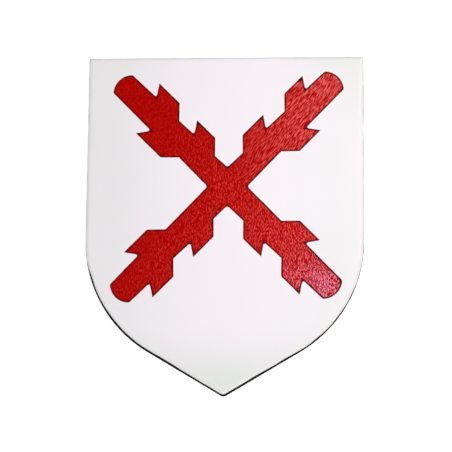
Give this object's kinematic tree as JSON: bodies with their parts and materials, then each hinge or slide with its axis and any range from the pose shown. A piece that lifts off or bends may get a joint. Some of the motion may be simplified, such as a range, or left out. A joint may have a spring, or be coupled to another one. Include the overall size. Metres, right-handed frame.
{
  "type": "heater shield",
  "caption": "Flat wooden heater shield with a straight top edge, curved shoulders and a blunt point, painted white with a red ragged saltire.",
  "frame": {"origin": "middle of the flat underside, below the middle of the bounding box", "axes": "+Z out of the painted face, +Y towards the straight top edge, +X to the right as the painted face is seen"},
  "size_m": [0.5, 0.625, 0.018],
  "materials": {
    "painted_wood": "satin white paint on the face and its rounded arris, a glossy brushed red saltire with a thin dark contour, black paint on the side and the back"
  },
  "bodies": {
    "root": {"shield_board": "painted_wood"}
  },
  "joints": []
}
